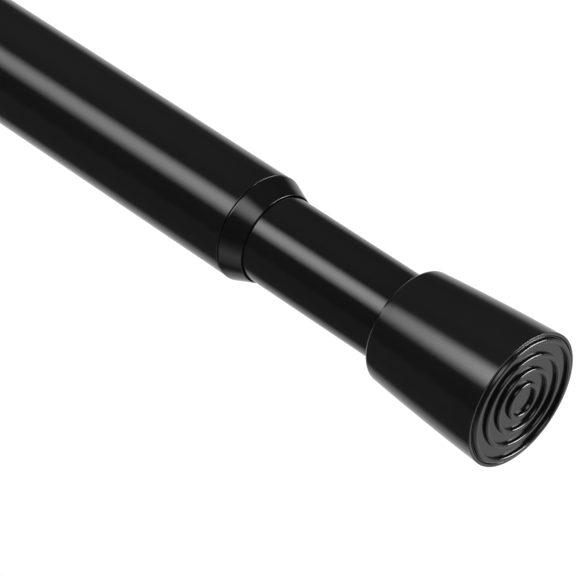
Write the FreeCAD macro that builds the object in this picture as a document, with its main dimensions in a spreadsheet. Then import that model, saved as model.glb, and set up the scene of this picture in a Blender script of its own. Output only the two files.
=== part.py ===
"""Spring tension rod: two telescoping tubes held between two walls by a spring inside the inner tube.

The rod lies along X. The origin is the centre of the far cap, on the plane of its ridge crests, and +X runs to the
near cap. Sizes are in millimetres. Each piece has its own local x, which starts at its end nearest the origin,
except in the near cap, where it starts at the crests and runs back along the rod.
"""

import FreeCAD
import Part
import Sketcher
import math
import os

SIZES = [
    ("outer_dia", 16.0, "outer tube, outside"),
    ("outer_wall", 0.6, "outer tube, wall"),
    ("outer_length", 276.0, "outer tube, cut length"),
    ("tube_gap", 0.9, "room between the two tubes, per side"),
    ("inner_wall", 0.5, "inner tube, wall"),
    ("shown_length", 24.8, "inner tube that shows at rest, which is the stroke the spring can give"),
    ("press_gap", 0.02, "clearance of a piece that is pressed or glued in place, per side"),
    ("run_gap", 0.05, "clearance of a piece that slides or turns, per side"),
    ("edge_break", 0.3, "small chamfer on moulded and turned edges"),
    ("nose_length", 3.5, "taper collar, part that shows"),
    ("nose_land", 0.3, "taper collar, short straight band beside the outer tube"),
    ("nose_step", 0.04, "taper collar, how far it stands proud of the outer tube"),
    ("nose_edge", 0.23, "taper collar, wall left at its mouth"),
    ("nose_round", 1.2, "taper collar, radius where the band turns into the taper"),
    ("spigot_length", 22.0, "taper collar, part pressed into the outer tube"),
    ("pad_depth", 2.2, "grip pad, from its crests to its back"),
    ("pad_stud", 2.5, "grip pad, radius of the stud on its back"),
    ("stud_catch", 0.5, "grip pad, how much wider the stud's head is than its neck"),
    ("stud_head", 2.0, "grip pad, length of the stud's head"),
    ("ridge_count", 4, "grip pad, concentric ridges"),
    ("ridge_height", 0.6, "grip pad, ridge above floor"),
    ("ridge_crest", 0.92, "grip pad, width of a ridge at its top, over its broken edges"),
    ("ridge_break", 0.18, "grip pad, bevel along both edges of a crest"),
    ("ridge_base", 1.0, "grip pad, width of a ridge at the floor"),
    ("ridge_edge", 0.1, "grip pad, floor left outside the outermost ridge"),
    ("crest_proud", 0.3, "grip pad, how far the crests stand out of the cap"),
    ("rim_break", 0.2, "cap, bevel of its front rim"),
    ("rear_round", 0.7, "cap, rounding of its rear edge"),
    ("cap_web", 2.0, "cap, thickness of its end wall"),
    ("near_cap_length", 20.5, "near cap, crests to rear edge"),
    ("near_cap_wall", 1.86, "near cap, wall at its rear edge"),
    ("near_cap_flare", 1.54, "near cap, how much wider its face is, per side"),
    ("near_cap_lip", 0.45, "near cap, rim round the pad"),
    ("near_ridge_inner", 2.42, "near cap, mid radius of the innermost ridge"),
    ("far_cap_length", 20.4, "far cap, crests to rear edge"),
    ("far_cap_wall", 1.8, "far cap, wall at its rear edge"),
    ("far_cap_flare", 1.4, "far cap, how much wider its face is, per side"),
    ("far_cap_lip", 1.05, "far cap, rim round the pad"),
    ("far_ridge_inner", 2.58, "far cap, mid radius of the innermost ridge"),
    ("plug_flange", 1.0, "tube plug, flange over the tube's end"),
    ("plug_length", 10.0, "tube plug, part inside the tube"),
    ("plug_wall", 1.2, "tube plug, wall and floor"),
    ("lock_gap", 2.0, "room between the far plug and the spindle's tip"),
    ("spindle_dia", 5.0, "spindle, screw end and journal"),
    ("spindle_tip", 0.5, "spindle, tip past the end nut"),
    ("nut_flats", 8.0, "end nut, across flats"),
    ("nut_thick", 3.0, "end nut, thickness"),
    ("cone_release", 3.0, "room for the cone to back out of the sleeve"),
    ("cone_head", 3.3, "cone, straight band at its wide end"),
    ("cone_reach", 9.0, "cone, tapered length"),
    ("cone_room", 1.4, "cone, room from its wide end to the outer tube's bore"),
    ("cone_taper", 0.2, "cone, radius lost per millimetre"),
    ("cone_gap", 0.1, "room between cone and sleeve, per side"),
    ("key_width", 1.2, "cone, width of a key"),
    ("key_room", 0.5, "cone, room from its keys to the outer tube's bore"),
    ("key_length", 8.0, "cone, length of a key past its wide band"),
    ("key_gap", 0.1, "room between a key and its slot, per side"),
    ("petal_count", 6, "lock sleeve, petals between slots"),
    ("sleeve_length", 20.0, "lock sleeve, length"),
    ("sleeve_ring", 5.0, "lock sleeve, unslit ring that carries the petals"),
    ("slot_stop", 1.0, "lock sleeve, wall between a slot and the ring's bore"),
    ("groove_count", 3, "lock sleeve, grip grooves"),
    ("groove_width", 1.4, "lock sleeve, width of a grip groove"),
    ("groove_depth", 0.35, "lock sleeve, depth of a grip groove"),
    ("groove_first", 2.6, "lock sleeve, mouth to the first groove"),
    ("groove_pitch", 3.4, "lock sleeve, groove to groove"),
    ("washer_thick", 1.0, "thrust washer, thickness"),
    ("washer_room", 1.2, "thrust washer, room from its edge to the outer tube's bore"),
    ("shoulder_radius", 5.0, "spindle, radius of its shoulder"),
    ("shoulder_thick", 2.5, "spindle, thickness of its shoulder"),
    ("shaft_flats", 6.0, "spindle, hexagonal shaft across flats"),
    ("stop_gap", 1.0, "room left between bush and shoulder at full stroke"),
    ("bush_flange", 1.5, "guide bush, flange"),
    ("bush_length", 12.0, "guide bush, part inside the inner tube"),
    ("ring_lip", 1.0, "glide ring, lip over the inner tube's end"),
    ("ring_length", 11.0, "glide ring, part round the inner tube"),
    ("plunger_thick", 4.0, "plunger head, thickness"),
    ("stub_radius", 2.0, "spindle, stub that carries the plunger head"),
    ("screw_radius", 1.25, "plunger screw, shank radius"),
    ("screw_length", 10.0, "plunger screw, shank length"),
    ("screw_head", 2.4, "plunger screw, head radius"),
    ("screw_head_thick", 1.7, "plunger screw, head thickness"),
    ("screw_room", 1.0, "room past the tip of the plunger screw"),
    ("seat_thick", 0.8, "spring washers, thickness"),
    ("spring_length", 60.0, "main spring, fitted length"),
    ("spring_gap", 0.4, "room round the spring in the inner tube, per side"),
    ("spring_wire", 1.3, "main spring, wire diameter"),
    ("spring_turns", 9.0, "main spring, turns"),
    ("stop_length", 8.0, "spring stop, length"),
    ("stop_groove", 2.0, "spring stop, width of its crimp groove"),
    ("stop_groove_depth", 0.6, "spring stop, depth of its crimp groove"),
]

DOC = FreeCAD.newDocument("spring_tension_rod")
SHEET = DOC.addObject("Spreadsheet::Sheet", "sizes")
for row, (alias, number, meaning) in enumerate(SIZES, start=1):
    SHEET.set(f"A{row}", str(number))
    SHEET.setAlias(f"A{row}", alias)
    SHEET.set(f"B{row}", meaning)
DOC.recompute()

# Radii that several pieces share, as expressions on the sheet.
OUTER_R = "sizes.outer_dia / 2"
BORE_R = f"({OUTER_R} - sizes.outer_wall)"
INNER_R = f"({BORE_R} - sizes.tube_gap)"
INNER_BORE_R = f"({INNER_R} - sizes.inner_wall)"
SPINDLE_R = "sizes.spindle_dia / 2"
CONE_R = f"({BORE_R} - sizes.cone_room)"
WIRE_SIDES = 8

# Places along the rod at rest, from the far crests to the near ones.
TUBE_INSET = "(sizes.pad_depth + sizes.cap_web + sizes.plug_flange)"
AT_SPINDLE = f"({TUBE_INSET} + sizes.plug_length + sizes.lock_gap)"
AT_NUT = f"({AT_SPINDLE} + sizes.spindle_tip)"
AT_CONE = f"({AT_NUT} + sizes.nut_thick + sizes.cone_release)"
AT_SLEEVE = f"({AT_CONE} + sizes.cone_head)"
AT_WASHER = f"({AT_SLEEVE} + sizes.sleeve_length)"
AT_SHOULDER = f"({AT_WASHER} + sizes.washer_thick)"
AT_SHAFT = f"({AT_SHOULDER} + sizes.shoulder_thick)"
AT_BUSH = f"({AT_SHAFT} + sizes.shown_length + sizes.stop_gap)"
AT_RING = f"({AT_BUSH} + sizes.bush_flange)"
AT_INNER = f"({AT_RING} + sizes.ring_lip)"
AT_PLUNGER = f"({AT_INNER} + sizes.bush_length)"
AT_SEAT = f"({AT_PLUNGER} + sizes.plunger_thick)"
AT_SPRING = f"({AT_SEAT} + sizes.seat_thick)"
AT_STOP_WASHER = f"({AT_SPRING} + sizes.spring_length)"
AT_STOP = f"({AT_STOP_WASHER} + sizes.seat_thick)"
AT_SEAM = f"({TUBE_INSET} + sizes.outer_length)"
AT_NEAR_REAR = f"({AT_SEAM} + sizes.nose_length + sizes.shown_length)"
AT_NEAR_CREST = f"({AT_NEAR_REAR} + sizes.near_cap_length)"
INNER_LENGTH = f"({AT_NEAR_CREST} - {TUBE_INSET} - {AT_INNER})"


def value(expression):
    """The number that an expression on the sheet gives now."""
    return float(SHEET.evalExpression(expression))


def new_body(label, along, turned_back=False):
    """A body placed along the rod; a turned-back one has its local x pointing at the far end."""
    body = DOC.addObject("PartDesign::Body", label)
    body.Label = label
    if turned_back:
        body.Placement.Rotation = FreeCAD.Rotation(FreeCAD.Vector(0, 0, 1), 180)
    body.setExpression("Placement.Base.x", along)
    DOC.recompute()
    return body


def origin_feature(body, role):
    """The body's own origin plane or axis with this role."""
    return next(part for part in body.Origin.OriginFeatures if part.Role == role)


def new_sketch(body, name, plane, offset=None):
    """A sketch on one of the body's origin planes, moved along the plane's normal by an expression."""
    sketch = body.newObject("Sketcher::SketchObject", name)
    sketch.AttachmentSupport = [(origin_feature(body, plane), "")]
    sketch.MapMode = "FlatFace"
    if offset:
        sketch.setExpression("AttachmentOffset.Base.z", offset)
    return sketch


def tie(sketch, kind, edge, number, expression):
    """Holds the start of an edge at a distance from the sketch's origin that the sheet gives."""
    index = sketch.addConstraint(Sketcher.Constraint(kind, -1, 1, edge, 1, number))
    sketch.setExpression(f"Constraints[{index}]", expression)


def add_outline(sketch, corners):
    """Draws a closed outline through the corners, each a pair of expressions."""
    spots = [FreeCAD.Vector(value(across), value(up), 0) for across, up in corners]
    first = sketch.GeometryCount
    for spot, following in zip(spots, spots[1:] + spots[:1]):
        sketch.addGeometry(Part.LineSegment(spot, following), False)
    for step in range(len(spots)):
        here = first + step
        following = first + (step + 1) % len(spots)
        sketch.addConstraint(Sketcher.Constraint("Coincident", here, 2, following, 1))
    for step, (across, up) in enumerate(corners):
        tie(sketch, "DistanceX", first + step, spots[step].x, across)
        tie(sketch, "DistanceY", first + step, spots[step].y, up)


def add_circle(sketch, radius):
    """Draws a circle about the sketch's origin."""
    disc = Part.Circle(FreeCAD.Vector(0, 0, 0), FreeCAD.Vector(0, 0, 1), value(radius))
    index = sketch.addGeometry(disc, False)
    sketch.addConstraint(Sketcher.Constraint("Coincident", index, 3, -1, 1))
    size = sketch.addConstraint(Sketcher.Constraint("Radius", index, value(radius)))
    sketch.setExpression(f"Constraints[{size}]", radius)


def turned(label, along, corners, turned_back=False):
    """A body turned about the rod's axis from an outline of (x, radius) corners."""
    body = new_body(label, along, turned_back)
    sketch = new_sketch(body, f"{label}_profile", "XY_Plane")
    add_outline(sketch, corners)
    turning = body.newObject("PartDesign::Revolution", f"{label}_turning")
    turning.Profile = sketch
    turning.ReferenceAxis = (origin_feature(body, "X_Axis"), [""])
    turning.Angle = 360
    DOC.recompute()
    return body


def ring_edges(body, along, radius):
    """Names of the body's circular edges at a local x and a radius."""
    found = []
    shape = body.Tip.Shape
    for index, edge in enumerate(shape.Edges, start=1):
        if not isinstance(edge.Curve, Part.Circle):
            continue
        same_place = abs(edge.Curve.Center.x - value(along)) < 1e-4
        if same_place and abs(edge.Curve.Radius - value(radius)) < 1e-4:
            found.append(f"Edge{index}")
    return found


def dress(body, kind, size, rings):
    """Rounds or bevels the circular edges at the given (x, radius) places."""
    names = [name for along, radius in rings for name in ring_edges(body, along, radius)]
    base = body.Tip
    feature = body.newObject(f"PartDesign::{kind}", f"{body.Label}_{kind.lower()}")
    feature.Base = (base, names)
    feature.setExpression("Radius" if kind == "Fillet" else "Size", size)
    body.Tip = feature
    DOC.recompute()


def hexagon(flats):
    """Corners of a hexagon across flats, about the sketch's origin."""
    corner = f"({flats}) / sqrt(3)"
    half = f"({flats}) / 2"
    return [
        (corner, "0"),
        (f"{corner} / 2", half),
        (f"-({corner}) / 2", half),
        (f"-({corner})", "0"),
        (f"-({corner}) / 2", f"-({half})"),
        (f"{corner} / 2", f"-({half})"),
    ]


def repeat_round(body, feature, count):
    """Repeats a feature evenly about the rod's axis."""
    pattern = body.newObject("PartDesign::PolarPattern", f"{feature.Name}_pattern")
    pattern.Originals = [feature]
    pattern.Axis = (origin_feature(body, "X_Axis"), [""])
    pattern.Angle = 360
    pattern.setExpression("Occurrences", count)
    body.Tip = pattern
    DOC.recompute()


def tube(label, along, length, outside, inside):
    """A plain cut tube."""
    corners = [("0", inside), ("0", outside), (length, outside), (length, inside)]
    return turned(label, along, corners)


def washer(label, along, thickness, outside, inside):
    """A flat washer with its outer edges broken."""
    body = tube(label, along, thickness, outside, inside)
    dress(body, "Chamfer", f"{thickness} / 5", [("0", outside), (thickness, outside)])


def grip_pad(label, along, radius, ridge_inner, turned_back=False):
    """A soft pad: ridges in rings on its face, and a stud on its back that catches behind the cap's end wall."""
    floor = "sizes.ridge_height"
    neck = "(sizes.pad_stud)"
    head = f"({neck} + sizes.stud_catch)"
    head_start = "(sizes.pad_depth + sizes.cap_web)"
    head_end = f"({head_start} + sizes.stud_head)"
    span = f"({radius} - sizes.ridge_edge - sizes.ridge_base / 2 - {ridge_inner})"
    corners = [(floor, "0")]
    for ridge in range(int(value("sizes.ridge_count"))):
        middle = f"({ridge_inner} + {span} * {ridge} / (sizes.ridge_count - 1))"
        corners += [
            (floor, f"{middle} - sizes.ridge_base / 2"),
            ("sizes.ridge_break", f"{middle} - sizes.ridge_crest / 2"),
            ("0", f"{middle} - sizes.ridge_crest / 2 + sizes.ridge_break"),
            ("0", f"{middle} + sizes.ridge_crest / 2 - sizes.ridge_break"),
            ("sizes.ridge_break", f"{middle} + sizes.ridge_crest / 2"),
            (floor, f"{middle} + sizes.ridge_base / 2"),
        ]
    corners += [
        (floor, radius),
        ("sizes.pad_depth", radius),
        ("sizes.pad_depth", neck),
        (head_start, neck),
        (head_start, head),
        (head_end, neck),
        (head_end, "0"),
    ]
    turned(label, along, corners, turned_back)


def cap_shell(label, along, length, face, rear, lip, tube_radius, turned_back=False):
    """A tapered cup: recess for the pad in front, end wall with a hole for the stud, socket for the tube behind."""
    front = "sizes.crest_proud"
    recess = f"({face} - {lip})"
    socket = f"({tube_radius} + sizes.press_gap)"
    web_back = "(sizes.pad_depth + sizes.cap_web)"
    hole = "(sizes.pad_stud + sizes.press_gap)"
    corners = [
        (front, recess),
        (front, face),
        (length, rear),
        (length, socket),
        (web_back, socket),
        (web_back, hole),
        ("sizes.pad_depth", hole),
        ("sizes.pad_depth", recess),
    ]
    body = turned(label, along, corners, turned_back)
    dress(body, "Fillet", "sizes.rear_round", [(length, rear)])
    dress(body, "Chamfer", "sizes.rim_break", [(front, face)])


def tube_plug(label, along, tube_radius, tube_bore, turned_back=False):
    """A moulded cup that closes a tube's end: its flange covers the cut edge, and its mouth takes the pad's stud."""
    outside = f"({tube_bore} - sizes.press_gap)"
    inside = f"({outside} - sizes.plug_wall)"
    end = "(sizes.plug_flange + sizes.plug_length)"
    corners = [
        ("0", inside),
        ("0", tube_radius),
        ("sizes.plug_flange", tube_radius),
        ("sizes.plug_flange", outside),
        (end, outside),
        (end, "0"),
        (f"{end} - sizes.plug_wall", "0"),
        (f"{end} - sizes.plug_wall", inside),
    ]
    body = turned(label, along, corners, turned_back)
    dress(body, "Chamfer", "sizes.edge_break", [(end, outside)])


def end_cap(side, along, tube_radius, tube_bore, turned_back=False):
    """The three pieces on one end of the rod."""
    length = f"sizes.{side}_cap_length"
    rear = f"({tube_radius} + sizes.{side}_cap_wall)"
    face = f"({rear} + sizes.{side}_cap_flare)"
    lip = f"sizes.{side}_cap_lip"
    direction = "-" if turned_back else "+"
    plug_at = f"{along} {direction} (sizes.pad_depth + sizes.cap_web)"
    pad_radius = f"({face} - {lip} - sizes.press_gap)"
    grip_pad(f"{side}_grip_pad", along, pad_radius, f"sizes.{side}_ridge_inner", turned_back)
    cap_shell(f"{side}_cap_shell", along, length, face, rear, lip, tube_radius, turned_back)
    tube_plug(f"{side}_tube_plug", plug_at, tube_radius, tube_bore, turned_back)


def taper_collar():
    """The moulded collar that narrows the outer tube to the inner one and guides it."""
    nose = "sizes.nose_length"
    land = f"({OUTER_R} + sizes.nose_step)"
    guide = f"({INNER_R} + sizes.run_gap)"
    mouth = f"({guide} + sizes.nose_edge)"
    spigot = f"({BORE_R} - sizes.press_gap)"
    length = f"(sizes.spigot_length + {nose})"
    corners = [
        ("0", guide),
        ("0", spigot),
        ("sizes.spigot_length", spigot),
        ("sizes.spigot_length", land),
        ("sizes.spigot_length + sizes.nose_land", land),
        (length, mouth),
        (length, guide),
    ]
    body = turned("taper_collar", f"{AT_SEAM} - sizes.spigot_length", corners)
    dress(body, "Fillet", "sizes.nose_round", [("sizes.spigot_length + sizes.nose_land", land)])
    dress(body, "Chamfer", "sizes.edge_break", [("0", spigot), ("0", guide)])


def lock_sleeve():
    """The slit sleeve that the cone spreads against the outer tube's bore."""
    outside = f"({BORE_R} - sizes.run_gap)"
    mouth = f"({CONE_R} + sizes.cone_gap)"
    ring_at = "(sizes.sleeve_length - sizes.sleeve_ring)"
    narrow = f"({mouth} - sizes.cone_taper * {ring_at})"
    bore = f"({SPINDLE_R} + sizes.run_gap)"
    corners = [("0", mouth), ("0", outside)]
    for groove in range(int(value("sizes.groove_count"))):
        start = f"(sizes.groove_first + sizes.groove_pitch * {groove})"
        end = f"({start} + sizes.groove_width)"
        floor = f"({outside} - sizes.groove_depth)"
        corners += [(start, outside), (start, floor), (end, floor), (end, outside)]
    corners += [
        ("sizes.sleeve_length", outside),
        ("sizes.sleeve_length", bore),
        (ring_at, bore),
        (ring_at, narrow),
    ]
    body = turned("lock_sleeve", AT_SLEEVE, corners)
    sketch = new_sketch(body, "slot_outline", "XZ_Plane")
    slot_end = f"({ring_at} - sizes.slot_stop)"
    clear = f"({outside} + 1)"
    add_outline(sketch, [("-1", "0"), (slot_end, "0"), (slot_end, clear), ("-1", clear)])
    slot = body.newObject("PartDesign::Pocket", "petal_slot")
    slot.Profile = sketch
    slot.Midplane = True
    slot.setExpression("Length", "sizes.key_width + 2 * sizes.key_gap")
    DOC.recompute()
    repeat_round(body, slot, "sizes.petal_count")


def lock_cone():
    """The threaded cone, keyed into the sleeve's slots so that it draws in as the spindle turns."""
    length = "(sizes.cone_head + sizes.cone_reach)"
    small = f"({CONE_R} - sizes.cone_taper * sizes.cone_reach)"
    keys = f"({BORE_R} - sizes.key_room)"
    bore = f"({SPINDLE_R} + sizes.run_gap)"
    corners = [("0", bore), ("0", CONE_R), ("sizes.cone_head", CONE_R), (length, small), (length, bore)]
    body = turned("lock_cone", AT_CONE, corners)
    sketch = new_sketch(body, "key_outline", "XZ_Plane")
    key_end = "(sizes.cone_head + sizes.key_length)"
    root = f"({small} - 1)"
    add_outline(sketch, [("0", root), (key_end, root), (key_end, keys), ("0", keys)])
    key = body.newObject("PartDesign::Pad", "cone_key")
    key.Profile = sketch
    key.Midplane = True
    key.setExpression("Length", "sizes.key_width")
    DOC.recompute()
    repeat_round(body, key, "sizes.petal_count")


def lock_spindle():
    """The spindle: screw end and journal, shoulder, hexagonal shaft, and a drilled stub for the plunger head."""
    shoulder = f"({AT_SHOULDER} - {AT_SPINDLE})"
    shaft = f"({shoulder} + sizes.shoulder_thick)"
    stub = f"({AT_PLUNGER} - {AT_SPINDLE})"
    end = f"({stub} + sizes.plunger_thick)"
    hole = "(sizes.screw_radius + sizes.press_gap)"
    hole_end = f"({end} + sizes.seat_thick - sizes.screw_length - sizes.screw_room)"
    corners = [
        ("0", "0"),
        ("0", SPINDLE_R),
        (shoulder, SPINDLE_R),
        (shoulder, "sizes.shoulder_radius"),
        (shaft, "sizes.shoulder_radius"),
        (shaft, "sizes.stub_radius"),
        (end, "sizes.stub_radius"),
        (end, hole),
        (hole_end, hole),
        (hole_end, "0"),
    ]
    body = turned("lock_spindle", AT_SPINDLE, corners)
    dress(body, "Chamfer", "sizes.edge_break", [("0", SPINDLE_R)])
    sketch = new_sketch(body, "shaft_section", "YZ_Plane", shaft)
    add_outline(sketch, hexagon("sizes.shaft_flats"))
    add_circle(sketch, "(sizes.screw_radius + sizes.stub_radius) / 2")
    pad = body.newObject("PartDesign::Pad", "shaft_pad")
    pad.Profile = sketch
    pad.setExpression("Length", f"{stub} - {shaft}")
    body.Tip = pad
    DOC.recompute()


def end_nut():
    """The nut that keeps the cone on the spindle."""
    body = new_body("end_nut", AT_NUT)
    sketch = new_sketch(body, "nut_section", "YZ_Plane")
    add_outline(sketch, hexagon("sizes.nut_flats"))
    add_circle(sketch, f"{SPINDLE_R} + sizes.press_gap")
    pad = body.newObject("PartDesign::Pad", "nut_pad")
    pad.Profile = sketch
    pad.setExpression("Length", "sizes.nut_thick")
    DOC.recompute()


def guide_bush():
    """The moulded bush in the inner tube's end: a hexagonal hole guides the shaft and turns it."""
    outside = f"({INNER_BORE_R} - sizes.press_gap)"
    flange = f"({BORE_R} - sizes.ring_lip / 2)"
    shank = "(sizes.bush_flange + sizes.ring_lip)"
    end = f"({shank} + sizes.bush_length)"
    corners = [
        ("0", "0"),
        ("0", flange),
        ("sizes.bush_flange", flange),
        ("sizes.bush_flange", outside),
        (end, outside),
        (end, "0"),
    ]
    body = turned("guide_bush", AT_BUSH, corners)
    dress(body, "Chamfer", "sizes.edge_break", [("0", flange), (end, outside)])
    sketch = new_sketch(body, "bush_hole", "YZ_Plane")
    add_outline(sketch, hexagon("sizes.shaft_flats + 2 * sizes.run_gap"))
    hole = body.newObject("PartDesign::Pocket", "bush_hole_cut")
    hole.Profile = sketch
    hole.Reversed = True
    hole.setExpression("Length", end)
    body.Tip = hole
    DOC.recompute()


def glide_ring():
    """The slippery ring round the inner tube's end; its lip is held between the tube and the bush's flange."""
    outside = f"({BORE_R} - sizes.run_gap)"
    inside = f"({INNER_R} + sizes.press_gap)"
    lip = f"({INNER_BORE_R})"
    length = "(sizes.ring_lip + sizes.ring_length)"
    corners = [
        ("0", lip),
        ("0", outside),
        (length, outside),
        (length, inside),
        ("sizes.ring_lip", inside),
        ("sizes.ring_lip", lip),
    ]
    body = turned("glide_ring", AT_RING, corners)
    dress(body, "Chamfer", "sizes.edge_break", [("0", outside), (length, outside)])


def plunger_screw():
    """The screw that holds the plunger head and its washer on the spindle."""
    shank = "sizes.screw_radius"
    start = "sizes.screw_length"
    end = f"({start} + sizes.screw_head_thick)"
    corners = [
        ("0", "0"),
        ("0", shank),
        (start, shank),
        (start, "sizes.screw_head"),
        (end, "sizes.screw_head"),
        (end, "0"),
    ]
    body = turned("plunger_screw", f"{AT_SPRING} - sizes.screw_length", corners)
    dress(body, "Chamfer", "sizes.edge_break", [(end, "sizes.screw_head")])


def spring_stop():
    """The plug crimped inside the inner tube that the spring pushes against."""
    outside = f"({INNER_BORE_R} - sizes.press_gap)"
    floor = f"({outside} - sizes.stop_groove_depth)"
    groove = "((sizes.stop_length - sizes.stop_groove) / 2)"
    groove_end = f"({groove} + sizes.stop_groove)"
    corners = [
        ("0", "0"),
        ("0", outside),
        (groove, outside),
        (groove, floor),
        (groove_end, floor),
        (groove_end, outside),
        ("sizes.stop_length", outside),
        ("sizes.stop_length", "0"),
    ]
    body = turned("spring_stop", AT_STOP, corners)
    dress(body, "Chamfer", "sizes.edge_break", [("sizes.stop_length", outside)])


def main_spring():
    """The compression spring: wire wound in a helix, with its ends ground flat. Its wire is an octagon in section."""
    wire_radius = value("sizes.spring_wire") / 2
    coil_radius = value(f"{INNER_BORE_R} - sizes.spring_gap") - wire_radius
    length = value("sizes.spring_length")
    turns = value("sizes.spring_turns")
    pitch = length / (turns - 1)
    slope = math.atan2(pitch, 2 * math.pi * coil_radius)
    outward = FreeCAD.Vector(1, 0, 0)
    upward = FreeCAD.Vector(0, -math.sin(slope), math.cos(slope))
    corners = []
    for corner in range(WIRE_SIDES + 1):
        angle = 2 * math.pi * (corner + 0.5) / WIRE_SIDES
        arm = outward * math.cos(angle) + upward * math.sin(angle)
        corners.append(outward * coil_radius + arm * wire_radius)
    helix = Part.makeHelix(pitch, pitch * turns, coil_radius)
    coil = Part.Wire(helix.Edges).makePipeShell([Part.makePolygon(corners)], True, True)
    ground = Part.makeCylinder(coil_radius + 2 * wire_radius, length, FreeCAD.Vector(0, 0, pitch / 2))
    spring = DOC.addObject("Part::Feature", "main_spring")
    spring.Shape = coil.common(ground)
    start = FreeCAD.Vector(value(AT_SPRING) - pitch / 2, 0, 0)
    spring.Placement = FreeCAD.Placement(start, FreeCAD.Rotation(FreeCAD.Vector(0, 1, 0), 90))
    DOC.recompute()


def build():
    """All the pieces, from the tubes inwards."""
    tube("outer_tube", TUBE_INSET, "sizes.outer_length", OUTER_R, BORE_R)
    tube("inner_tube", AT_INNER, INNER_LENGTH, INNER_R, INNER_BORE_R)
    taper_collar()
    end_cap("far", "0", OUTER_R, BORE_R)
    end_cap("near", AT_NEAR_CREST, INNER_R, INNER_BORE_R, turned_back=True)
    lock_sleeve()
    lock_cone()
    lock_spindle()
    end_nut()
    journal = f"({SPINDLE_R} + sizes.run_gap)"
    washer_edge = f"({BORE_R} - sizes.washer_room)"
    washer("thrust_washer", AT_WASHER, "sizes.washer_thick", washer_edge, journal)
    guide_bush()
    glide_ring()
    slide_fit = f"({INNER_BORE_R} - 2 * sizes.run_gap)"
    stub_fit = "(sizes.stub_radius + sizes.press_gap)"
    washer("plunger_head", AT_PLUNGER, "sizes.plunger_thick", slide_fit, stub_fit)
    screw_fit = "(sizes.screw_radius + sizes.run_gap)"
    washer("plunger_washer", AT_SEAT, "sizes.seat_thick", slide_fit, screw_fit)
    plunger_screw()
    main_spring()
    washer("stop_washer", AT_STOP_WASHER, "sizes.seat_thick", slide_fit, "sizes.stub_radius")
    spring_stop()


def check():
    """Stops if any object failed or any piece isn't a sound solid."""
    for item in DOC.Objects:
        if "Invalid" in item.State or "Error" in item.State:
            raise RuntimeError(f"{item.Label} failed: {item.State}")
    for piece in pieces():
        if piece.Shape.isNull() or not piece.Shape.isValid() or not piece.Shape.Solids:
            raise RuntimeError(f"{piece.Label} has no sound solid")


def pieces():
    """The objects that are written out: every body, and the spring."""
    return [item for item in DOC.Objects if item.TypeId in ("PartDesign::Body", "Part::Feature")]


def write():
    """One file for each piece, named by its label."""
    os.makedirs("parts", exist_ok=True)
    for piece in pieces():
        piece.Shape.exportStep(f"parts/{piece.Label}.step")


build()
DOC.recompute()
check()
write()
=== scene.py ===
"""The look of the spring tension rod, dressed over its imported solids.

Gloss black tubes, collar, caps and grip pads. Lengths are in metres unless a name or comment says
otherwise. The rod lies along X and its far pad's crests are at x = 0.
"""

import math

import bpy
from mathutils import Matrix, Vector


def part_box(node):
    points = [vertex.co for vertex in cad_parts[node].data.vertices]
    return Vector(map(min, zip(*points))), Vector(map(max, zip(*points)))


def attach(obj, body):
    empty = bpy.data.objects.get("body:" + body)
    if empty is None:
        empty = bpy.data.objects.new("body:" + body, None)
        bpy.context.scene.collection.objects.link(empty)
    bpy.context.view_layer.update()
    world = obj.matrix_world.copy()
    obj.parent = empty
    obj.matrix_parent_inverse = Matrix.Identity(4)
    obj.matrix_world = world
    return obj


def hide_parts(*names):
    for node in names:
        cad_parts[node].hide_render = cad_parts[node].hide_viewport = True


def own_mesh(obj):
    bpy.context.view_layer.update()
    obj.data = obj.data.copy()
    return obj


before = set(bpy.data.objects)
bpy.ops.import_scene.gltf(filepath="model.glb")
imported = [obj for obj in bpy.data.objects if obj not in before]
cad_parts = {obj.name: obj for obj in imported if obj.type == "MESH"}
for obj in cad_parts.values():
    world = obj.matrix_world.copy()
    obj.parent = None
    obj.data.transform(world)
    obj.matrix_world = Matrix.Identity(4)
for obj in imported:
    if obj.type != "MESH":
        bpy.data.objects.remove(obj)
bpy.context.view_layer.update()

MM = 0.001


# Camera, at the photo's place: lens and position come from its perspective.
LENS_MM = 190.52
SENSOR_MM = 36.0
CAMERA_PLACE = Vector((511.86, -221.33, 267.57)) * MM
CAMERA_RIGHT = Vector((0.7013, 0.7127, 0.0))
CAMERA_AHEAD = Vector((-0.5374, 0.5287, -0.6569))
CLIP_NEAR = 0.01
CLIP_FAR = 50.0


def place_camera():
    """The camera at the photo's viewpoint."""
    ahead = CAMERA_AHEAD.normalized()
    right = (CAMERA_RIGHT - ahead * CAMERA_RIGHT.dot(ahead)).normalized()
    up = right.cross(ahead)
    camera_data = bpy.data.cameras.new("product_camera")
    camera_data.lens = LENS_MM
    camera_data.sensor_width = SENSOR_MM
    camera_data.clip_start = CLIP_NEAR
    camera_data.clip_end = CLIP_FAR
    camera = bpy.data.objects.new("product_camera", camera_data)
    bpy.context.scene.collection.objects.link(camera)
    turn = Matrix((right, up, -ahead)).transposed()
    camera.matrix_world = Matrix.Translation(CAMERA_PLACE) @ turn.to_4x4()
    bpy.context.scene.camera = camera


# Modelling by hand tools, one small step each.
ROUND_SIDES = 160
SAME_RING = 0.01 * MM
SAME_POINT = 0.0001 * MM
ROUND_PROFILE = 0.5
FACE_AREA_WEIGHT = 100


def clear_selection():
    """Nothing selected, and no edit mode left open."""
    if bpy.context.object and bpy.context.object.mode != "OBJECT":
        bpy.ops.object.mode_set(mode="OBJECT")
    bpy.ops.object.select_all(action="DESELECT")


def grow_ring(here, there):
    """Carries the selected ring from one (x, radius) station to the next, leaving faces behind it."""
    step = there[0] - here[0]
    bpy.ops.mesh.extrude_region_move(TRANSFORM_OT_translate={"value": (step, 0, 0)})
    scale = there[1] / here[1]
    bpy.ops.transform.resize(value=(1, scale, scale), center_override=(there[0], 0, 0))


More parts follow.
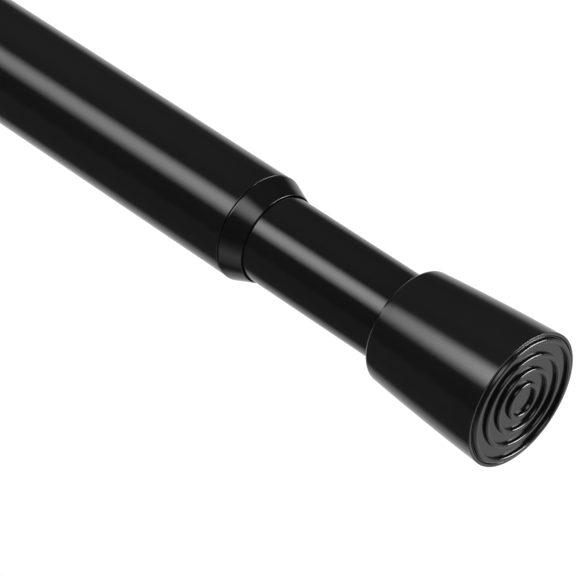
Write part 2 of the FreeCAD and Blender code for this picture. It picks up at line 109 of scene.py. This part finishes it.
def select_rings(piece, places):
    """Selects the edges on circles at the given (x, radius) places. The piece is in edit mode."""
    bpy.ops.mesh.select_all(action="DESELECT")
    bpy.ops.object.mode_set(mode="OBJECT")
    world = piece.matrix_world
    spots = [world @ vertex.co for vertex in piece.data.vertices]
    found = set()
    for index, spot in enumerate(spots):
        radius = math.hypot(spot.y, spot.z)
        for number, (x, ring) in enumerate(places):
            if abs(spot.x - x) < SAME_RING and abs(radius - ring) < SAME_RING:
                found.add((index, number))
    numbers = range(len(places))
    for edge in piece.data.edges:
        first, second = edge.vertices
        edge.select = any((first, n) in found and (second, n) in found for n in numbers)
    for vertex in piece.data.vertices:
        vertex.select = any((vertex.index, n) in found for n in numbers)
    bpy.ops.object.mode_set(mode="EDIT")
    bpy.ops.mesh.select_mode(type="EDGE")


def round_rings(piece, places, size, segments):
    """Rounds the circular edges at these places. The size is in millimetres."""
    select_rings(piece, places)
    bpy.ops.mesh.bevel(
        offset=size * MM,
        segments=segments,
        profile=ROUND_PROFILE,
        affect="EDGES",
        clamp_overlap=True,
    )


def turn_piece(name, stations, closed):
    """A piece turned about the rod's axis: a ring is carried through the (x, radius) stations.

    A closed outline comes back to its first station. An open one starts and ends on the axis.
    """
    clear_selection()
    bpy.ops.mesh.primitive_circle_add(
        vertices=ROUND_SIDES,
        radius=stations[0][1],
        location=(stations[0][0], 0, 0),
        rotation=(0, math.pi / 2, 0),
    )
    piece = bpy.context.object
    piece.name = name
    piece.data.name = name
    bpy.ops.object.mode_set(mode="EDIT")
    bpy.ops.mesh.select_mode(type="VERT")
    bpy.ops.mesh.select_all(action="SELECT")
    for here, there in zip(stations, stations[1:]):
        grow_ring(here, there)
    if closed:
        select_rings(piece, [stations[0], stations[-1]])
        bpy.ops.mesh.bridge_edge_loops()
    else:
        for end in (stations[0], stations[-1]):
            select_rings(piece, [end])
            bpy.ops.mesh.edge_face_add()
            bpy.ops.mesh.select_mode(type="FACE")
            bpy.ops.mesh.poke()
            bpy.ops.mesh.select_mode(type="EDGE")
    return piece


def finish_piece(piece, body, node, material):
    """Applies the piece's place, turns its faces outwards, smooths it, and hands it to its body."""
    bpy.ops.mesh.select_all(action="SELECT")
    bpy.ops.mesh.remove_doubles(threshold=SAME_POINT)
    bpy.ops.mesh.normals_make_consistent(inside=False)
    bpy.ops.object.mode_set(mode="OBJECT")
    bpy.ops.object.transform_apply(location=True, rotation=True, scale=True)
    bpy.ops.object.shade_smooth()
    weigh = piece.modifiers.new("even_normals", "WEIGHTED_NORMAL")
    weigh.weight = FACE_AREA_WEIGHT
    weigh.keep_sharp = True
    bpy.ops.object.modifier_apply(modifier=weigh.name)
    piece.data.materials.append(material)
    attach(piece, body)
    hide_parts(node)
    return piece


# Shader building.


class Tree:
    """A node tree that is laid out and wired in one line per node."""

    COLUMNS = 8
    COLUMN_WIDTH = 260
    ROW_HEIGHT = 320

    def __init__(self, tree):
        self.tree = tree
        self.count = 0

    def add(self, kind, settings=None, **inputs):
        """A node with its settings and inputs. An input is a plain value or another node's output."""
        node = self.tree.nodes.new(kind)
        row, column = divmod(self.count, self.COLUMNS)
        node.location = (self.COLUMN_WIDTH * column, -self.ROW_HEIGHT * row)
        self.count += 1
        for name, value in (settings or {}).items():
            setattr(node, name, value)
        for name, value in inputs.items():
            socket = self.find(node, name)
            if isinstance(value, bpy.types.NodeSocket):
                self.link(value, socket)
            else:
                socket.default_value = value
        return node

    def link(self, output, socket):
        """A wire from a node's output to a socket."""
        self.tree.links.new(output, socket)

    @staticmethod
    def find(node, name):
        """The enabled input whose name matches, with underscores for spaces, or the numbered one."""
        if name.startswith("input_"):
            return node.inputs[int(name[6:])]
        wanted = name.replace("_", " ").lower()
        return next(s for s in node.inputs if s.enabled and s.name.lower() == wanted)

    def math(self, operation, first, second=0.0):
        """One math step."""
        node = self.add("ShaderNodeMath", {"operation": operation}, input_0=first, input_1=second)
        return node.outputs[0]

    def scaled(self, vector, factors):
        """A vector stretched by its own factor along each axis."""
        node = self.add(
            "ShaderNodeVectorMath",
            {"operation": "MULTIPLY"},
            input_0=vector,
            input_1=factors,
        )
        return node.outputs[0]

    def remap(self, value, low, high, new_low, new_high, kind="LINEAR"):
        """A value moved from one range to another, and held inside it."""
        node = self.add(
            "ShaderNodeMapRange",
            {"interpolation_type": kind},
            Value=value,
            From_Min=low,
            From_Max=high,
            To_Min=new_low,
            To_Max=new_high,
        )
        return node.outputs[0]

    def smooth_step(self, value, low, high, new_low, new_high):
        """A soft step between two levels."""
        return self.remap(value, low, high, new_low, new_high, kind="SMOOTHSTEP")

    def noise(self, vector, scale, detail=3.0, roughness=0.5):
        """Soft noise about 0.5."""
        node = self.add(
            "ShaderNodeTexNoise",
            Vector=vector,
            Scale=scale,
            Detail=detail,
            Roughness=roughness,
        )
        return node.outputs["Fac"]

    def blend(self, share, first, second):
        """A colour between two."""
        node = self.add(
            "ShaderNodeMix",
            {"data_type": "RGBA"},
            input_0=share,
            input_6=first,
            input_7=second,
        )
        return node.outputs[2]


def grey(level):
    """A neutral colour."""
    return (level, level, level, 1.0)


WHITE = grey(1.0)


def new_group(name, inputs, outputs):
    """A shader node group with named float, colour or vector sockets, and the tree to fill it."""
    group = bpy.data.node_groups.new(name, "ShaderNodeTree")
    kinds = {"float": "NodeSocketFloat", "color": "NodeSocketColor", "vector": "NodeSocketVector"}
    for socket_name, kind, default in inputs:
        socket = group.interface.new_socket(name=socket_name, in_out="INPUT", socket_type=kinds[kind])
        socket.default_value = default
    for socket_name, kind in outputs:
        group.interface.new_socket(name=socket_name, in_out="OUTPUT", socket_type=kinds[kind])
    tree = Tree(group)
    given = tree.add("NodeGroupInput")
    made = tree.add("NodeGroupOutput")
    return group, tree, given.outputs, made.inputs


def build_tone_group():
    """Slow drift between two tones, with a finer mottle over it."""
    group, tree, given, made = new_group(
        "tone_drift",
        [
            ("Vector", "vector", (0, 0, 0)),
            ("Tone", "color", grey(0.01)),
            ("Other Tone", "color", grey(0.02)),
            ("Drift Scale", "float", 40.0),
            ("Mottle Scale", "float", 900.0),
        ],
        [("Color", "color")],
    )
    drift_share = 0.7
    mottle_share = 0.3
    all_tone = 0.36
    all_other = 0.64
    drift = tree.noise(given["Vector"], given["Drift Scale"], detail=2.0)
    mottle = tree.noise(given["Vector"], given["Mottle Scale"], detail=2.0)
    share = tree.math(
        "ADD",
        tree.math("MULTIPLY", drift, drift_share),
        tree.math("MULTIPLY", mottle, mottle_share),
    )
    share = tree.remap(share, all_tone, all_other, 0.0, 1.0)
    tree.link(tree.blend(share, given["Tone"], given["Other Tone"]), made["Color"])
    return group


def build_handling_group():
    """Roughness of a handled gloss surface: faint smudges, and hair-fine rub marks round the rod."""
    group, tree, given, made = new_group(
        "handling_marks",
        [
            ("Vector", "vector", (0, 0, 0)),
            ("Roughness", "float", 0.1),
            ("Smudge", "float", 0.03),
            ("Smudge Scale", "float", 90.0),
            ("Rub", "float", 0.03),
            ("Rub Scale", "float", 1400.0),
        ],
        [("Roughness", "float")],
    )
    smudge_edge = (0.52, 0.72)
    rub_edge = (0.6, 0.72)
    rub_stretch = (1.0, 0.06, 0.06)
    rub_patch_scale = 55.0
    rub_patch_edge = (0.5, 0.66)
    smudge = tree.noise(given["Vector"], given["Smudge Scale"], detail=4.0, roughness=0.6)
    smudge = tree.remap(smudge, *smudge_edge, 0.0, 1.0)
    stretched = tree.scaled(given["Vector"], rub_stretch)
    rub = tree.noise(stretched, given["Rub Scale"], detail=2.0, roughness=0.7)
    rub = tree.remap(rub, *rub_edge, 0.0, 1.0)
    patch = tree.noise(given["Vector"], rub_patch_scale, detail=1.0)
    rub = tree.math("MULTIPLY", rub, tree.remap(patch, *rub_patch_edge, 0.0, 1.0))
    total = tree.math("ADD", given["Roughness"], tree.math("MULTIPLY", smudge, given["Smudge"]))
    total = tree.math("ADD", total, tree.math("MULTIPLY", rub, given["Rub"]))
    tree.link(total, made["Roughness"])
    return group


def build_ripple_group():
    """Height of a sprayed or moulded skin: a slow swell and a fine peel."""
    group, tree, given, made = new_group(
        "skin_ripple",
        [
            ("Vector", "vector", (0, 0, 0)),
            ("Swell Scale", "float", 60.0),
            ("Swell", "float", 0.6),
            ("Peel Scale", "float", 1500.0),
            ("Peel", "float", 0.25),
        ],
        [("Height", "float")],
    )
    swell = tree.noise(given["Vector"], given["Swell Scale"], detail=1.0)
    peel = tree.noise(given["Vector"], given["Peel Scale"], detail=2.0, roughness=0.4)
    height = tree.math(
        "ADD",
        tree.math("MULTIPLY", swell, given["Swell"]),
        tree.math("MULTIPLY", peel, given["Peel"]),
    )
    tree.link(height, made["Height"])
    return group


def build_dust_group():
    """Sparse specks of pale dust over a colour."""
    group, tree, given, made = new_group(
        "dust_specks",
        [
            ("Vector", "vector", (0, 0, 0)),
            ("Color", "color", grey(0.01)),
            ("Dust Color", "color", grey(0.2)),
            ("Speck Scale", "float", 500.0),
            ("Amount", "float", 0.04),
        ],
        [("Color", "color")],
    )
    speck_edge = (0.05, 0.11)
    cells = tree.add("ShaderNodeTexVoronoi", Vector=given["Vector"], Scale=given["Speck Scale"])
    near = tree.remap(cells.outputs["Distance"], *speck_edge, 1.0, 0.0)
    chosen = tree.add("ShaderNodeSeparateColor", Color=cells.outputs["Color"]).outputs[0]
    chosen = tree.math("LESS_THAN", chosen, given["Amount"])
    mask = tree.math("MULTIPLY", near, chosen)
    tree.link(tree.blend(mask, given["Color"], given["Dust Color"]), made["Color"])
    return group


GROUPS = {
    "tone": build_tone_group(),
    "handling": build_handling_group(),
    "ripple": build_ripple_group(),
    "dust": build_dust_group(),
}


def use_group(tree, key, place, **inputs):
    """A shared effect placed in a material. Its first output is handed back."""
    return tree.add("ShaderNodeGroup", {"node_tree": GROUPS[key]}, Vector=place, **inputs).outputs[0]


def new_material(name):
    """A material with an empty tree, its object coordinates and its shader."""
    material = bpy.data.materials.new(name)
    material.use_nodes = True
    material.node_tree.nodes.clear()
    tree = Tree(material.node_tree)
    place = tree.add("ShaderNodeTexCoord").outputs["Object"]
    shader = tree.add("ShaderNodeBsdfPrincipled")
    output = tree.add("ShaderNodeOutputMaterial")
    tree.link(shader.outputs[0], output.inputs["Surface"])
    return material, tree, place, shader


def dress_shader(tree, shader, color, roughness, height, strength, depth):
    """Wires a colour, a roughness and a bumped surface to the shader."""
    bumped = tree.add("ShaderNodeBump", Strength=strength, Distance=depth, Height=height)
    tree.link(color, shader.inputs["Base Color"])
    tree.link(roughness, shader.inputs["Roughness"])
    tree.link(bumped.outputs["Normal"], shader.inputs["Normal"])


SKIN_DEPTH = 0.1 * MM
CUT_DEPTH = 0.05 * MM
BLACK_SPECULAR = 0.14
INNER_SPECULAR = 0.4


def gloss_black(name, tones, roughness, specular, swell, peel, peel_scale, bump, rub):
    """A gloss black skin: paint on the tubes, or the skin of a moulding."""
    material, tree, place, shader = new_material(name)
    shader.inputs["Specular IOR Level"].default_value = specular
    tone = use_group(
        tree,
        "tone",
        place,
        Tone=grey(tones[0]),
        Other_Tone=grey(tones[1]),
        Drift_Scale=35.0,
        Mottle_Scale=1100.0,
    )
    color = use_group(
        tree,
        "dust",
        place,
        Color=tone,
        Dust_Color=grey(0.02),
        Speck_Scale=900.0,
        Amount=0.03,
    )
    marks = use_group(
        tree,
        "handling",
        place,
        Roughness=roughness,
        Smudge=0.02,
        Smudge_Scale=80.0,
        Rub=rub,
        Rub_Scale=1500.0,
    )
    height = use_group(
        tree,
        "ripple",
        place,
        Swell_Scale=45.0,
        Swell=swell,
        Peel_Scale=peel_scale,
        Peel=peel,
    )
    dress_shader(tree, shader, color, marks, height, bump, SKIN_DEPTH)
    return material


def matt_moulding(name, tone, other_tone, roughness, drift_scale):
    """A plain moulding inside the rod."""
    material, tree, place, shader = new_material(name)
    shader.inputs["Specular IOR Level"].default_value = INNER_SPECULAR
    color = use_group(
        tree,
        "tone",
        place,
        Tone=tone,
        Other_Tone=other_tone,
        Drift_Scale=drift_scale,
        Mottle_Scale=1800.0,
    )
    marks = use_group(
        tree,
        "handling",
        place,
        Roughness=roughness,
        Smudge=0.08,
        Smudge_Scale=120.0,
        Rub=0.1,
        Rub_Scale=1200.0,
    )
    height = use_group(
        tree,
        "ripple",
        place,
        Swell_Scale=80.0,
        Swell=0.4,
        Peel_Scale=2600.0,
        Peel=0.6,
    )
    dress_shader(tree, shader, color, marks, height, 0.25, SKIN_DEPTH)
    return material


def turned_steel(name, tone, other_tone, roughness, cut_scale):
    """Bare metal with the fine rings that turning or drawing leaves."""
    material, tree, place, shader = new_material(name)
    shader.inputs["Metallic"].default_value = 1.0
    color = use_group(
        tree,
        "tone",
        place,
        Tone=tone,
        Other_Tone=other_tone,
        Drift_Scale=120.0,
        Mottle_Scale=1500.0,
    )
    marks = use_group(
        tree,
        "handling",
        place,
        Roughness=roughness,
        Smudge=0.12,
        Smudge_Scale=200.0,
        Rub=0.1,
        Rub_Scale=2500.0,
    )
    cut_stretch = (1.0, 0.04, 0.04)
    cuts = tree.noise(tree.scaled(place, cut_stretch), cut_scale, detail=2.0, roughness=0.6)
    dress_shader(tree, shader, color, marks, cuts, 0.3, CUT_DEPTH)
    return material


# The tubes' sizes as the source has them, and the play of a part that slips into another, in millimetres.
OUTER_R = 8.0
OUTER_BORE_R = 7.4
INNER_R = 6.5
INNER_BORE_R = 6.0
SLIP = 0.02


def station(x, radius):
    """A place on an outline, from millimetres."""
    return (x * MM, radius * MM)


def make_tube(node, body, radius, bore, material):
    """A tube between its CAD node's ends, its cut edges lightly broken."""
    low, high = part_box(node)
    start = low.x / MM
    end = high.x / MM
    bays = 12
    outline = [station(start + (end - start) * bay / bays, radius) for bay in range(bays + 1)]
    outline += [station(end - (end - start) * bay / bays, bore) for bay in range(bays + 1)]
    piece = turn_piece(f"{node}_skin", outline, closed=True)
    round_rings(piece, [station(start, radius), station(end, radius)], 0.1, 4)
    round_rings(piece, [station(start, bore), station(end, bore)], 0.08, 2)
    return finish_piece(piece, body, node, material)


def make_collar(material):
    """The taper collar: spigot in the outer tube, narrow band, and the taper down to the inner tube."""
    low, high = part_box("taper_collar")
    start = low.x / MM
    end = high.x / MM
    spigot_length = 22.0
    spigot_radius = OUTER_BORE_R - SLIP
    guide_radius = INNER_R + 0.05
    groove_width = 0.2
    groove_radius = 7.7
    land_radius = 8.04
    land_width = 0.14
    mouth_radius = guide_radius + 0.23
    seam = start + spigot_length
    land_back = seam + groove_width
    land_front = land_back + land_width
    outline = [
        station(start, guide_radius),
        station(start, spigot_radius),
        station(seam, spigot_radius),
        station(seam, groove_radius),
        station(land_back, groove_radius),
        station(land_back, land_radius),
        station(land_front, land_radius),
        station(end, mouth_radius),
        station(end, guide_radius),
    ]
    piece = turn_piece("taper_collar_moulding", outline, closed=True)
    round_rings(piece, [station(land_front, land_radius)], 0.1, 4)
    round_rings(piece, [station(land_back, land_radius)], 0.03, 2)
    round_rings(piece, [station(end, mouth_radius)], 0.04, 3)
    round_rings(piece, [station(start, spigot_radius), station(start, guide_radius)], 0.25, 2)
    return finish_piece(piece, "outer", "taper_collar", material)


# What a cap and its pad share: depths behind the pad's crests, and radii, in millimetres.
RIM_DEPTH = 0.4
SEAT_DEPTH = 2.2
WEB_DEPTH = 4.2
STUD_R = 2.5
STUD_BARB_R = 3.0
STUD_END_DEPTH = 6.2

# How far a cap's side swells past a straight taper, half way along, in millimetres.
CAP_FULLNESS = 0.12


def make_cap(side, body, crest, way, length, face, rear, lip, tube_radius, material):
    """A cap's shell: rim, recess for the pad, end wall, and socket for the tube."""

    def at(depth, radius):
        return station(crest + way * depth, radius)

    socket = tube_radius + SLIP
    hole = STUD_R + SLIP
    bays = 10
    side_line = []
    for bay in range(bays + 1):
        share = bay / bays
        full = CAP_FULLNESS * 4 * share * (1 - share)
        depth = RIM_DEPTH + (length - RIM_DEPTH) * share
        side_line.append(at(depth, face + (rear - face) * share + full))
    outline = [
        at(RIM_DEPTH, face - lip),
        *side_line,
        at(length, socket),
        at(WEB_DEPTH, socket),
        at(WEB_DEPTH, hole),
        at(SEAT_DEPTH, hole),
        at(SEAT_DEPTH, face - lip),
    ]
    piece = turn_piece(f"{side}_cap_moulding", outline, closed=True)
    round_rings(piece, [at(length, rear)], 0.7, 8)
    round_rings(piece, [at(RIM_DEPTH, face)], 0.06, 3)
    round_rings(piece, [at(length, socket)], 0.15, 3)
    round_rings(piece, [at(RIM_DEPTH, face - lip)], 0.05, 2)
    return finish_piece(piece, body, f"{side}_cap_shell", material)


def make_pad(side, body, crest, way, radius, ridge_inner, material):
    """A cap's pad: four rings of ridges with rounded crests, and the stud behind it."""

    def at(depth, ring):
        return station(crest + way * depth, ring)

    ridges = 4
    height = 0.46
    half_crest = 0.29
    half_base = 0.41
    edge = 0.19
    span = (radius - edge - half_base - ridge_inner) / (ridges - 1)
    outline = [at(height, ridge_inner * 0.5)]
    crests = []
    feet = []
    for ridge in range(ridges):
        middle = ridge_inner + span * ridge
        inner_foot = at(height, middle - half_base)
        outer_foot = at(height, middle + half_base)
        tops = [at(0, middle - half_crest), at(0, middle + half_crest)]
        outline += [inner_foot, *tops, outer_foot]
        crests += tops
        feet += [inner_foot, outer_foot]
    outline += [
        at(height, radius),
        at(SEAT_DEPTH, radius),
        at(SEAT_DEPTH, STUD_R),
        at(WEB_DEPTH, STUD_R),
        at(WEB_DEPTH, STUD_BARB_R),
        at(STUD_END_DEPTH, STUD_R),
    ]
    piece = turn_piece(f"{side}_pad_moulding", outline, closed=False)
    round_rings(piece, crests, 0.16, 6)
    select_rings(piece, feet)
    bpy.ops.mesh.mark_sharp()
    return finish_piece(piece, body, f"{side}_grip_pad", material)


def make_spring(material):
    """The main spring: a round wire wound in nine turns and cut flat at both ends."""
    low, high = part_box("main_spring")
    wire_radius = 0.65 * MM
    wire_sides = 14
    coil_radius = high.z - wire_radius
    turns = 9
    steps_a_turn = 44
    pitch = (high.x - low.x) / (turns - 1)
    clear_selection()
    bpy.ops.mesh.primitive_circle_add(
        vertices=wire_sides,
        radius=wire_radius,
        location=(low.x - pitch / 2, 0, coil_radius),
        rotation=(math.pi / 2, 0, 0),
    )
    piece = bpy.context.object
    piece.name = "main_spring_wire"
    piece.data.name = "main_spring_wire"
    bpy.ops.object.transform_apply(location=True, rotation=True, scale=True)
    winding = piece.modifiers.new("winding", "SCREW")
    winding.axis = "X"
    winding.angle = 2 * math.pi * turns
    winding.screw_offset = pitch * turns
    winding.steps = steps_a_turn * turns
    winding.render_steps = steps_a_turn * turns
    winding.use_smooth_shade = True
    bpy.ops.object.modifier_apply(modifier=winding.name)
    bpy.ops.object.mode_set(mode="EDIT")
    bpy.ops.mesh.select_mode(type="EDGE")
    for x, away in ((low.x, True), (high.x, False)):
        bpy.ops.mesh.select_all(action="SELECT")
        bpy.ops.mesh.bisect(
            plane_co=(x, 0, 0),
            plane_no=(1, 0, 0),
            use_fill=True,
            clear_inner=away,
            clear_outer=not away,
        )
    finished = finish_piece(piece, "spindle", "main_spring", material)
    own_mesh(finished)
    return finished


# The studio.


def background_share(tree):
    """1 for rays that should see the plain pale background, 0 for rays that only carry light."""
    path = tree.add("ShaderNodeLightPath")
    return tree.math("MAXIMUM", path.outputs["Is Camera Ray"], path.outputs["Is Transmission Ray"])


# How bright the world is for light that is not mirrored.
AMBIENT = 0.72

# What the gloss mirrors, by the angle round the rod's axis in degrees: 0 is +Y, 90 is up, -90 is down.
SURROUND = [
    (-180, 0.05),
    (-168, 0.26),
    (-150, 0.2),
    (-113, 0.12),
    (-98, 1.0),
    (-80, 1.05),
    (-60, 0.9),
    (-11, 0.95),
    (5, 0.12),
    (25, 0.13),
    (45, 0.24),
    (75, 0.38),
    (98, 0.32),
    (150, 0.09),
    (180, 0.05),
]

# The strip of light: where it rises and falls round the axis in degrees, how it leans as it runs along
# the rod, and its level.
STRIP_RISE = (102.5, 122.5)
STRIP_FALL = (126.5, 150.2)
STRIP_LEAN = 18.0
STRIP_MIDDLE = -0.55
STRIP_LEVEL = 19.0

# The strip's share by the mirrored direction's part along the rod, where -1 looks along -X.
STRIP_ALONG = [
    (-1.0, 0.42),
    (-0.68, 0.45),
    (-0.53, 1.0),
    (-0.35, 1.0),
    (0.0, 0.62),
    (0.4, 0.5),
    (0.65, 0.0),
    (1.0, 0.0),
]

# A pale patch low on the camera's side, by the same angle. It is met by directions whose part along the
# rod lies past PATCH_RISE, which the ridges of the near pad and the taper mirror.
PATCH = [
    (-180, 0.0),
    (-168, 0.3),
    (-150, 1.9),
    (-118, 1.9),
    (-104, 0.0),
    (180, 0.0),
]
PATCH_RISE = (-0.16, 0.02)


def level_curve(tree, value, spots):
    """A level read off a line through (value, level) spots."""
    low = spots[0][0]
    high = spots[-1][0]
    node = tree.add("ShaderNodeFloatCurve", Value=tree.remap(value, low, high, 0.0, 1.0))
    curve = node.mapping.curves[0]
    places = [((at - low) / (high - low), level) for at, level in spots]
    curve.points[0].location = places[0]
    curve.points[-1].location = places[-1]
    for place in places[1:-1]:
        curve.points.new(*place)
    for point in curve.points:
        point.handle_type = "VECTOR"
    node.mapping.update()
    return node.outputs[0]


def build_surround():
    """What the gloss mirrors: pale floor behind, dim room in front, strip of light and pale patch."""
    world = bpy.data.worlds.new("studio")
    bpy.context.scene.world = world
    world.use_nodes = True
    world.node_tree.nodes.clear()
    tree = Tree(world.node_tree)
    direction = tree.add("ShaderNodeTexCoord").outputs["Generated"]
    parts = tree.add("ShaderNodeSeparateXYZ", Vector=direction)
    along = parts.outputs["X"]
    radians = tree.math("ARCTAN2", parts.outputs["Z"], parts.outputs["Y"])
    angle = tree.math("MULTIPLY", radians, 180 / math.pi)
    room = level_curve(tree, angle, SURROUND)
    lean = tree.math("MULTIPLY", tree.math("SUBTRACT", along, STRIP_MIDDLE), STRIP_LEAN)
    leaned = tree.math("ADD", angle, lean)
    rise = tree.smooth_step(leaned, *STRIP_RISE, 0.0, STRIP_LEVEL)
    fall = tree.smooth_step(leaned, *STRIP_FALL, 1.0, 0.0)
    strip = tree.math("MULTIPLY", rise, fall)
    strip = tree.math("MULTIPLY", strip, level_curve(tree, along, STRIP_ALONG))
    near = tree.smooth_step(along, *PATCH_RISE, 0.0, 1.0)
    patch = tree.math("MULTIPLY", level_curve(tree, angle, PATCH), near)
    mirrored = tree.math("ADD", tree.math("ADD", room, strip), patch)
    plain = tree.remap(background_share(tree), 0.0, 1.0, AMBIENT, 1.0)
    glossy = tree.add("ShaderNodeLightPath").outputs["Is Glossy Ray"]
    strength = tree.add(
        "ShaderNodeMix",
        {"data_type": "FLOAT"},
        input_0=glossy,
        input_2=plain,
        input_3=mirrored,
    )
    background = tree.add("ShaderNodeBackground", Color=WHITE, Strength=strength.outputs[0])
    output = tree.add("ShaderNodeOutputWorld")
    tree.link(background.outputs[0], output.inputs["Surface"])


FLOOR_SIDE = 12
FLOOR_PLACE = (0.16, 0, -0.16)
FLOOR_TONE = 0.8
FLOOR_GLOW = 0.3

LAMP_DISTANCE = 2.0
NEAR_FACE = Vector((0.33, 0, 0))
ROD_MIDDLE = Vector((0.2, 0, 0))
KEY_PLACE = Vector((0.1, -0.9, 1.6))


def build_floor():
    """A pale floor well below the rod, which the gloss does not mirror."""
    clear_selection()
    bpy.ops.mesh.primitive_plane_add(size=FLOOR_SIDE, location=FLOOR_PLACE)
    floor = bpy.context.object
    floor.name = "studio_floor"
    floor.visible_glossy = False
    material = bpy.data.materials.new("studio_floor_paint")
    material.use_nodes = True
    material.node_tree.nodes.clear()
    tree = Tree(material.node_tree)
    diffuse = tree.add("ShaderNodeBsdfDiffuse", Color=grey(FLOOR_TONE))
    level = tree.math("MULTIPLY", background_share(tree), FLOOR_GLOW)
    glow = tree.add("ShaderNodeEmission", Color=WHITE, Strength=level)
    both = tree.add("ShaderNodeAddShader", input_0=diffuse.outputs[0], input_1=glow.outputs[0])
    output = tree.add("ShaderNodeOutputMaterial")
    tree.link(both.outputs[0], output.inputs["Surface"])
    floor.data.materials.append(material)


def add_area_light(name, place, target, side, power):
    """A soft square lamp that faces its target."""
    lamp = bpy.data.lights.new(name, "AREA")
    lamp.shape = "RECTANGLE"
    lamp.size = side
    lamp.size_y = side
    lamp.energy = power
    light = bpy.data.objects.new(name, lamp)
    bpy.context.scene.collection.objects.link(light)
    back = (place - target).normalized()
    across = Vector((1, 0, 0))
    across = (across - back * across.dot(back)).normalized()
    up = back.cross(across)
    turn = Matrix((across, up, back)).transposed()
    light.matrix_world = Matrix.Translation(place) @ turn.to_4x4()
    return light


def add_mirrored_lamp(name, way, side, level):
    """A square lamp that only the gloss at the rod's near end sees, at this level of brightness."""
    place = NEAR_FACE + Vector(way).normalized() * LAMP_DISTANCE
    light = add_area_light(name, place, NEAR_FACE, side, level * math.pi * side * side)
    light.visible_diffuse = False


def build_lamps():
    """A soft lamp for the matt share, one for the ridges' rounded crests and one for the flat face."""
    key = add_area_light("key_light", KEY_PLACE, ROD_MIDDLE, 1.6, 12.0)
    key.visible_glossy = False
    add_mirrored_lamp("edge_light", (0.7, 0.66, 0.2), side=1.2, level=55.0)
    add_mirrored_lamp("face_light", (0.537, 0.529, -0.657), side=1.8, level=0.8)


place_camera()
build_surround()
build_floor()
build_lamps()

TUBE_PAINT = gloss_black(
    "tube_paint",
    tones=(0.006, 0.0072),
    roughness=0.1,
    specular=BLACK_SPECULAR,
    swell=0.5,
    peel=0.12,
    peel_scale=1400.0,
    bump=0.1,
    rub=0.02,
)
COLLAR_SKIN = gloss_black(
    "collar_plastic",
    tones=(0.0046, 0.0058),
    roughness=0.11,
    specular=BLACK_SPECULAR,
    swell=0.4,
    peel=0.15,
    peel_scale=1900.0,
    bump=0.1,
    rub=0.02,
)
CAP_SKIN = gloss_black(
    "cap_plastic",
    tones=(0.0058, 0.0072),
    roughness=0.11,
    specular=BLACK_SPECULAR * 1.15,
    swell=0.5,
    peel=0.15,
    peel_scale=1700.0,
    bump=0.1,
    rub=0.02,
)
PAD_SKIN = gloss_black(
    "grip_rubber",
    tones=(0.0055, 0.0074),
    roughness=0.12,
    specular=BLACK_SPECULAR,
    swell=0.5,
    peel=0.3,
    peel_scale=2200.0,
    bump=0.15,
    rub=0.03,
)
INNER_FINISHES = {
    "plug_plastic": matt_moulding(
        "plug_plastic",
        tone=grey(0.026),
        other_tone=grey(0.034),
        roughness=0.5,
        drift_scale=60.0,
    ),
    "lock_nylon": matt_moulding(
        "lock_nylon",
        tone=(0.62, 0.6, 0.53, 1),
        other_tone=(0.68, 0.66, 0.6, 1),
        roughness=0.42,
        drift_scale=70.0,
    ),
    "cone_plastic": matt_moulding(
        "cone_plastic",
        tone=(0.045, 0.045, 0.05, 1),
        other_tone=(0.065, 0.065, 0.07, 1),
        roughness=0.5,
        drift_scale=200.0,
    ),
    "zinc_steel": turned_steel(
        "zinc_steel",
        tone=(0.56, 0.57, 0.6, 1),
        other_tone=(0.62, 0.61, 0.57, 1),
        roughness=0.26,
        cut_scale=5000.0,
    ),
    "spring_steel": turned_steel(
        "spring_steel",
        tone=(0.3, 0.3, 0.31, 1),
        other_tone=(0.38, 0.37, 0.36, 1),
        roughness=0.3,
        cut_scale=4000.0,
    ),
}

# The pieces, with their sizes in millimetres.
NEAR_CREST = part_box("near_grip_pad")[1].x / MM
FAR_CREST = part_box("far_grip_pad")[0].x / MM
INTO_FAR = 1
INTO_NEAR = -1

make_tube("outer_tube", "outer", OUTER_R, OUTER_BORE_R, TUBE_PAINT)
make_tube("inner_tube", "inner", INNER_R, INNER_BORE_R, TUBE_PAINT)
make_collar(COLLAR_SKIN)
make_cap(
    "near",
    "inner",
    NEAR_CREST,
    INTO_NEAR,
    length=20.6,
    face=9.9,
    rear=8.36,
    lip=0.45,
    tube_radius=INNER_R,
    material=CAP_SKIN,
)
make_pad("near", "inner", NEAR_CREST, INTO_NEAR, radius=9.43, ridge_inner=2.42, material=PAD_SKIN)
make_cap(
    "far",
    "outer",
    FAR_CREST,
    INTO_FAR,
    length=20.4,
    face=11.2,
    rear=9.8,
    lip=1.05,
    tube_radius=OUTER_R,
    material=CAP_SKIN,
)
make_pad("far", "outer", FAR_CREST, INTO_FAR, radius=10.13, ridge_inner=2.58, material=PAD_SKIN)
make_spring(INNER_FINISHES["spring_steel"])

HIDDEN_FINISH = {
    "far_tube_plug": "plug_plastic",
    "near_tube_plug": "plug_plastic",
    "lock_sleeve": "lock_nylon",
    "lock_cone": "cone_plastic",
    "lock_spindle": "zinc_steel",
    "thrust_washer": "zinc_steel",
    "end_nut": "zinc_steel",
    "plunger_head": "zinc_steel",
    "plunger_washer": "zinc_steel",
    "plunger_screw": "zinc_steel",
    "guide_bush": "plug_plastic",
    "glide_ring": "lock_nylon",
    "spring_stop": "zinc_steel",
    "stop_washer": "zinc_steel",
}
for node_name, slot_name in HIDDEN_FINISH.items():
    node_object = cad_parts[node_name]
    node_object.data.materials.clear()
    node_object.data.materials.append(INNER_FINISHES[slot_name])

bpy.context.scene.view_settings.view_transform = "Standard"
